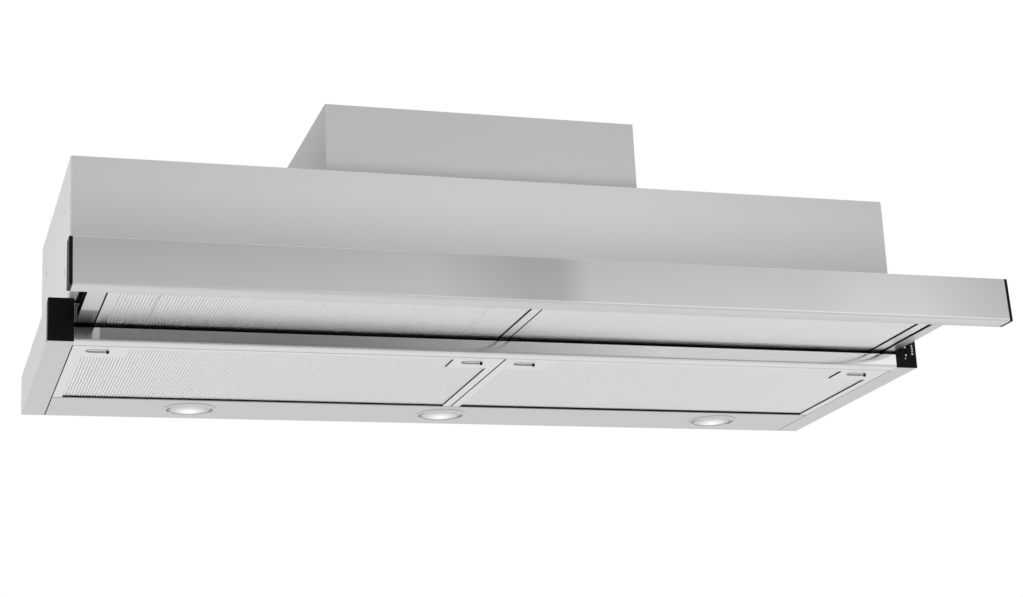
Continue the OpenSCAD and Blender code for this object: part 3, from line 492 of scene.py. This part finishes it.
lamp_bezel, sockets, place = surface("lamp_bezel", Metallic=1.0)
away, sideways = from_lamp(place)
# Painted shade: the bezel is dark next to the lens, at its left and right.
painted_seat_shade = (1 - away.between(1.02, 1.08)) * sideways.between(0.85, 1.0)
tint(painted_seat_shade, (0.59, 0.59, 0.595), (0.06, 0.06, 0.06)).to(sockets["Base Color"])
(0.28 + noise(place, 900, 2) * 0.12).to(sockets["Roughness"])
ease(lamp_bezel, 0.0002, "lamp_bezels")
lamp_lens, sockets, place = surface("lamp_lens", Roughness=0.4, Emission_Strength=0.6)
away, sideways = from_lamp(place)
lens_glow = (1 - away.between(0.1, 0.95)) ** 1.4
tint(lens_glow, (0.05, 0.05, 0.05), (1, 1, 0.99)).to(sockets["Emission Color"])
# Painted shade: the lens is darker at its rim, on the left and right.
painted_rim_shade = away.between(0.86, 0.97) * sideways.between(0.6, 0.95)
tint(painted_rim_shade, (0.74, 0.74, 0.73), (0.2, 0.2, 0.2)).to(sockets["Base Color"])
finish(lamp_lens, "lamp_lenses")
finish(zinc_plate, "lamp_housings")

# Door switch behind the visor's side member: a moulded case with a red plunger that the
# visor frees as it is drawn out.
ease(black_plastic, 0.0005, "microswitch")
plunger_red = mottled("plunger_red", 500, 2, (0.55, 0.025, 0.02), (0.66, 0.04, 0.03),
                      Roughness=0.35)[0]
finish(plunger_red, "switch_plunger")

# Ball slides, rolled from strip: pale zinc plated fixed members on the side profiles, ball cages,
# and moving members on the visor in black oxide.
slide_zinc = mottled("slide_zinc", 400, 3, (0.72, 0.73, 0.74), (0.84, 0.85, 0.86),
                     Roughness=0.35, Metallic=0.3)[0]
black_oxide = mottled("black_oxide", 200, 3, (0.004, 0.004, 0.0045), (0.008, 0.008, 0.0085),
                      Roughness=0.5, Specular_IOR_Level=0.05)[0]
ease(slide_zinc, 0.0003, "slide_outer_left", "slide_outer_right")
ease(black_oxide, 0.0003, "slide_inner_left", "slide_inner_right")
finish(zinc_plate, "ball_cages")

# Visor: the brushed front panel with its black moulded end caps, on a frame of bent stainless
# sheet that slides out of the tray. The panel's colour holds painted reflections, a soft dark band
# left of its middle and a paler then darker right end, a painted highlight along its bend and a
# painted shade on its lower return. The cover's underside is painted dark as shade; the left side
# is black above its flange, and the flange darkens towards the rear as a painted dark reflection.
brushed_steel, sockets, place, grain = brushed("brushed_steel", 0.26, Anisotropic=0.5,
                                               Anisotropic_Rotation=0.25)
across, up = coordinates(place, "XZ")
# The colour paints light: the lower return darker as shade, a soft dark band and a paler then
# darker right end as reflections, and a highlight along the right half of the bend.
lower_return = 1 - up.between(0.0006, 0.0025)
painted_dark_band = across.between(-0.133, -0.044) * (1 - across.between(-0.012, 0.017))
painted_end_reflection = across.between(0.24, 0.29) - across.between(0.35, 0.44) * 2.4
painted_bend_highlight = (up.between(0.0013, 0.0016) * (1 - up.between(0.0023, 0.0026))
             * across.between(-0.5, 0.0))
painted_reflections_on_panel = (0 - painted_dark_band * 0.17 + painted_end_reflection * 0.06) * (1 - lower_return)
shade = 0.76 - lower_return * 0.13 + painted_reflections_on_panel + painted_bend_highlight * 0.3 - grain * 0.03
tint(shade, (0, 0, 0), (0.947, 0.947, 0.954)).to(sockets["Base Color"])
ease(brushed_steel, 0.0003, "visor_fascia", "visor_front_bar")

plate_steel, sockets, place = surface("plate_steel", Roughness=0.34, Specular_IOR_Level=0.1)
plate_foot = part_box("visor_top_plate")[0].z
# Painted shade: the plate's underside is near black and not metallic, and its top is plain steel.
outside = coordinates(place, "Z")[0].between(plate_foot + 0.0002, plate_foot + 0.0004)
tint(outside, (0.01, 0.01, 0.01), (0.57, 0.57, 0.575)).to(sockets["Base Color"])
outside.to(sockets["Metallic"])
ease(plate_steel, 0.0003, "visor_top_plate")

side_steel, sockets, place = surface("side_steel", Roughness=0.34, Specular_IOR_Level=0.1)
depth, up = coordinates(place, "YZ")
# The wall above the flange is black, and the flange darkens towards the rear as a painted dark
# reflection.
inside = up.between(0.0206, 0.0212)
painted_dark_reflection = depth.between(-0.106, -0.101) * (0.62 + depth.between(-0.101, -0.06) * 0.3)
tint((painted_dark_reflection + inside).between(0, 1), (0.64, 0.64, 0.645), (0.02, 0.02, 0.02)).to(
    sockets["Base Color"])
(1 - inside).to(sockets["Metallic"])
ease(side_steel, 0.0003, "visor_side_left")
ease(tray_steel, 0.0003, "visor_side_right")
ease(black_oxide, 0.0003, "visor_rear_bar")
ease(black_plastic, 0.0004, "fascia_cap_left", "fascia_cap_right")

# Filter cassettes: frames folded from satin aluminium sheet, with handle plates in the front
# corners and tabs at the rear, and a satin latch behind each plate. Thin black strips on their
# sides, beside and behind the mesh stand in for the shade in the seams and recess edges, and the
# visor cassettes' frames are painted black along their rear edge as shadow.
filter_frame, sockets, place = surface("filter_frame", Specular_IOR_Level=0.1)
visor_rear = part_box("visor_mesh_left")[1].y


def near_visor_rear(place, reach):
    """1 at the visor cassettes' rear edge, 0 in front of the reach and on the tray's cassettes."""
    y, z = coordinates(place, "YZ")
    return z.between(0.013, 0.016) * y.between(visor_rear - reach, visor_rear - reach * 0.2)


# Painted shadow: the visor cassettes' frames are black along their rear edge.
painted_rear_shadow = near_visor_rear(place, 0.003)
tint(painted_rear_shadow, (0.78, 0.78, 0.79), (0.004, 0.004, 0.004)).to(sockets["Base Color"])
(1 - painted_rear_shadow).to(sockets["Metallic"])
(0.34 + noise(place, 300, 3) * 0.12).to(sockets["Roughness"])
border = 0.0095
border_front = 0.008
tab_reach = 0.0075
plate_length = 0.042
plate_depth = 0.032
side_strip_thickness = 0.00025
side_strip_ends = 0.005
side_strip_margins = 0.0012
shadow_strip_height = 0.0011
shadow_strip_rise = 0.0004
line_ends = 0.004
seam_inset = 0.0001
stroke_width = 0.0008
for node, right_border, seam, window_line, rear_line in (
        ("filter_left", border, None, 0.0008, 0.0016),
        ("filter_right", border, 0.0006, 0.0008, 0.0026),
        ("visor_filter_left", border, 0.0009, 0.0006, 0.0022),
        ("visor_filter_right", 0.0112, 0.0006, 0.0006, 0.0022)):
    ease(filter_frame, 0.00025, node)
    low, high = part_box(node)
    rear = high.y - tab_reach
    middle = (low.y + rear) / 2
    # Black strips that stand in for shade: on both sides, along the window's right edge, in the
    # seam to the left, behind the mesh and beside the handle plate.
    painted_shadow_strips = bmesh.new()
    for x in (low.x - side_strip_thickness / 2, high.x + side_strip_thickness / 2):
        add_block(painted_shadow_strips, (x, middle, (low.z + high.z) / 2),
                  (side_strip_thickness, rear - low.y - side_strip_ends, high.z - low.z - side_strip_margins))
    on_visor = node.startswith("visor")
    window_right = high.x - right_border
    line_start = low.y + border_front + (line_ends if on_visor else plate_depth)
    lines = [(window_right, (line_start + rear) / 2, window_line, rear - line_start)]
    if seam:
        lines.append((low.x + seam_inset, middle, seam, rear - low.y - line_ends))
    if on_visor:
        lines.append(((low.x + high.x) / 2, rear - 0.001, high.x - low.x - 0.001, rear_line))
    else:
        lines.append(((low.x + window_right + border) / 2, rear - 0.002,
                      window_right - low.x - border, rear_line))
        lines.append((window_right - plate_length, low.y + border_front + plate_depth / 2,
                      stroke_width, plate_depth - line_ends))
    for x, y, width, length in lines:
        add_block(painted_shadow_strips, (x, y, low.z + shadow_strip_rise), (width, length, shadow_strip_height))
    fit(f"{node}_edging", painted_shadow_strips, black_oxide, beside=node)
latch_steel, sockets, place = surface("latch_steel", Base_Color=(0.9, 0.9, 0.905, 1), Metallic=1.0)
(0.36 + noise(place, 1800, 2, (0.01, 1, 1)) * 0.06).to(sockets["Roughness"])
ease(latch_steel, 0.0002, "latch_left_outer", "latch_left_inner", "latch_right_inner",
     "latch_right_outer", "visor_latches_left", "visor_latches_right")

# Rims of the latch slots: rings of dark steel pressed into the handle plates from below, and on
# the tray's cassettes a black disc at the right end of each, which stands in for the shade in the
# slot's end. In each slot lies the latch's grip, a long flat button that moves with the latch.
rim_steel, sockets, place = surface("rim_steel", Base_Color=(0.45, 0.45, 0.45, 1), Metallic=1.0)
(0.36 + noise(place, 900, 2) * 0.1).to(sockets["Roughness"])
slot_length = 0.022
slot_width = 0.010
slot_setback = 0.018
rim_width = 0.0007
rim_drop = 0.0004
rim_bite = 0.0002
grip_radius = 0.00255
grip_reach = 0.007
grip_height = 0.0007
grip_set = 0.0021
grip_gap = 0.0001
latch_inset = 0.008
shade_disc_radius = 0.0015
shade_disc_foot_radius = 0.0013
shade_disc_height = 0.0022
shade_disc_inset = 0.0015
shade_disc_drop = 0.001


def draw_out(verts, reach):
    """Makes a round shape oblong: its two halves move apart, to the left and the right."""
    for v in verts:
        v.co.x += reach if v.co.x > 0 else -reach


for node, latches in (("filter_left", ("latch_left_outer", "latch_left_inner")),
                      ("filter_right", ("latch_right_inner", "latch_right_outer")),
                      ("visor_filter_left", ("visor_latches_left",)),
                      ("visor_filter_right", ("visor_latches_right",))):
    plate_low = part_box(node)[0]
    slot_y = plate_low.y + slot_setback
    slot_xs = []
    for latch in latches:
        low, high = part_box(latch)
        is_pair = latch.startswith("visor")
        xs = [low.x + latch_inset, high.x - latch_inset] if is_pair else [(low.x + high.x) / 2]
        slot_xs += xs
        grips = bmesh.new()
        for x in xs:
            grip = add_disc(grips, (0, 0, 0), grip_radius, grip_height, segments=32)
            draw_out(grip, grip_reach)
            shift(grips, (x, slot_y - grip_set, plate_low.z + grip_gap + grip_height / 2), grip)
        fit(f"{latch}_grip", grips, filter_frame, beside=latch)
    rims = bmesh.new()
    for x in slot_xs:
        ring = bmesh.ops.create_circle(rims, cap_ends=True, segments=32,
                                       radius=slot_width / 2 + rim_width / 2)["verts"]
        draw_out(ring, (slot_length - slot_width) / 2)
        shift(rims, (x, slot_y, plate_low.z - rim_drop), ring)
        face = ring[0].link_faces[0]
        bmesh.ops.inset_individual(rims, faces=[face], thickness=rim_width)
        bmesh.ops.delete(rims, geom=[face], context="FACES_ONLY")
    bmesh.ops.recalc_face_normals(rims, faces=rims.faces)
    upper = bmesh.ops.extrude_face_region(rims, geom=rims.faces[:])["geom"]
    shift(rims, (0, 0, rim_drop + rim_bite), upper)
    bmesh.ops.recalc_face_normals(rims, faces=rims.faces)
    fit(f"{node}_slot_rims", rims, rim_steel, beside=node)
    if not node.startswith("visor"):
        # Black discs standing in for the shade in the slots' right ends.
        painted_shade_discs = bmesh.new()
        for x in slot_xs:
            add_disc(painted_shade_discs, (x + slot_length / 2 - shade_disc_inset, slot_y, plate_low.z - shade_disc_drop),
                     shade_disc_radius, shade_disc_height, foot_radius=shade_disc_foot_radius)
        fit(f"{node}_stops", painted_shade_discs, black_plastic, beside=node)

# Filter mesh: aluminium sheet, slit, drawn out and pressed into ridges that run along the depth,
# with flat bars across between them. It lies on a pressed pack of more such sheets.
ridge_aluminium, sockets, place = surface("ridge_aluminium", Metallic=1.0)
flank_facing_for_shade = coordinates(place.node("ShaderNodeTexCoord", {}, {}, "Normal"), "X")[0]
# Painted shade: ridge flanks that face left are coloured darker than the rest.
tint(flank_facing_for_shade.between(-0.35, -0.05), (0.87, 0.87, 0.875), (1, 1, 1)).to(sockets["Base Color"])
(0.30 + noise(place, 400, 3) * 0.12).to(sockets["Roughness"])
shadow_reach = 0.009
bar_aluminium, sockets, place = surface("bar_aluminium", Roughness=0.42, Specular_IOR_Level=0.1)
# The bars' colour: dark and pale in random grains, darker than the ridges as painted shade in the
# valleys, and black as painted shadow near the visor cassettes' rear edge.
grain_and_painted_shade = noise(place, 700, 2).between(0.38, 0.62) * (1 - near_visor_rear(place, shadow_reach))
tint(grain_and_painted_shade, (0.03, 0.03, 0.03), (0.97, 0.97, 0.97)).to(sockets["Base Color"])
grain_and_painted_shade.to(sockets["Metallic"])
mesh_pack, sockets, place = surface("mesh_pack", Roughness=0.6, Specular_IOR_Level=0.1)
cells = place.node("ShaderNodeMapping", {}, {"Vector": place, "Scale": (520, 520, 0.001)})
strands = place.node("ShaderNodeTexVoronoi", {"feature": "DISTANCE_TO_EDGE"},
                     {"Vector": cells, "Scale": 1.0}, "Distance").between(0.02, 0.3)
# The pack's colour: the strands' pattern, and painted shadow near the visor cassettes' rear edge.
strands_and_painted_shadow = (1 - strands * 0.7) * (1 - near_visor_rear(place, shadow_reach))
tint(strands_and_painted_shadow, (0.005, 0.005, 0.005), (0.75, 0.75, 0.76)).to(sockets["Base Color"])
bump(strands, 0.5, 0.0004).to(sockets["Normal"])
ridge_pitch = 0.003
ridge_width = 0.0023
ridge_depth = 0.0007
bar_pitch = 0.0024
bar_width = 0.001
bar_tilt = 0.00005
side_gap = 0.001
rear_gap = 0.0005
sheet_lift = 0.0001
pack_gap = 0.0002
plate_cover = (0.048, 0.037)
weld_distance = 0.00001


def lay_copies(bm, step, count):
    """Doubles what a mesh holds along a step until there are enough copies."""
    made = 1
    while made < count:
        copies = bmesh.ops.duplicate(bm, geom=bm.verts[:] + bm.edges[:] + bm.faces[:])["geom"]
        shift(bm, Vector(step) * made, copies)
        made *= 2


def trim(bm, *cuts):
    """Cuts a mesh off beyond each plane, given as a point and its outward normal, and welds it."""
    for point, outward in cuts:
        bmesh.ops.bisect_plane(bm, geom=bm.verts[:] + bm.edges[:] + bm.faces[:], dist=0,
                               plane_co=point, plane_no=outward, clear_outer=True)
    bmesh.ops.remove_doubles(bm, verts=bm.verts, dist=weld_distance)


for node in ("filter_mesh_left", "filter_mesh_right", "visor_mesh_left", "visor_mesh_right"):
    low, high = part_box(node)
    sheet = bmesh.new()
    bmesh.ops.create_grid(sheet, x_segments=3, y_segments=3, size=1)
    slit = [f for f in sheet.faces if f.calc_center_median().length < 0.1]
    bmesh.ops.delete(sheet, geom=slit, context="FACES_ONLY")
    for v in sheet.verts:
        on_crest, at_end = abs(v.co.x) > 0.9, abs(v.co.y) > 0.9
        v.co.x = (ridge_pitch - (0 if on_crest else ridge_width)) / 2 * (1 if v.co.x > 0 else -1)
        v.co.y = (bar_pitch - (0 if at_end else bar_width)) / 2 * (1 if v.co.y > 0 else -1)
        v.co.z = 0 if on_crest else ridge_depth
    bmesh.ops.dissolve_limit(sheet, angle_limit=radians(2), verts=sheet.verts, edges=sheet.edges)
    for v in sheet.verts:
        if v.co.z > 0 and abs(v.co.y) < bar_pitch / 2 - tolerance:
            v.co.z += bar_tilt * (1 if v.co.y > 0 else -1)
    for f in sheet.faces:
        f.material_index = 1 if abs(f.calc_center_median().x) < tolerance else 0
    shift(sheet, (low.x, low.y, low.z + sheet_lift), sheet.verts)
    lay_copies(sheet, (ridge_pitch, 0, 0), (high.x - low.x) / ridge_pitch + 1)
    trim(sheet, (low + Vector((side_gap, 0, 0)), (-1, 0, 0)),
         (high - Vector((side_gap, 0, 0)), (1, 0, 0)))
    lay_copies(sheet, (0, bar_pitch, 0), (high.y - low.y) / bar_pitch + 1)
    trim(sheet, (low + Vector((0, side_gap, 0)), (0, -1, 0)),
         (high - Vector((0, rear_gap, 0)), (0, 1, 0)))
    behind_plates = []
    for f in sheet.faces:
        x, y = f.calc_center_median().xy
        if y < low.y + plate_cover[1] and min(x - low.x, high.x - x) < plate_cover[0]:
            behind_plates.append(f)
    bmesh.ops.delete(sheet, geom=behind_plates, context="FACES")
    bmesh.ops.recalc_face_normals(sheet, faces=sheet.faces)
    if sheet.faces[0].normal.z > 0:
        bmesh.ops.reverse_faces(sheet, faces=sheet.faces)
    ridges = fit(f"{node}_sheet", sheet, ridge_aluminium, node, crease=180)
    ridges.data.materials.append(bar_aluminium)
    pack = bmesh.new()
    pack.from_mesh(frame["nodes"][node].data)
    bmesh.ops.remove_doubles(pack, verts=pack.verts, dist=merge_distance)
    for v in pack.verts:
        if v.co.z < (low.z + high.z) / 2:
            v.co.z = low.z + ridge_depth + bar_tilt + pack_gap
    fit(f"{node}_pack", pack, mesh_pack, node)
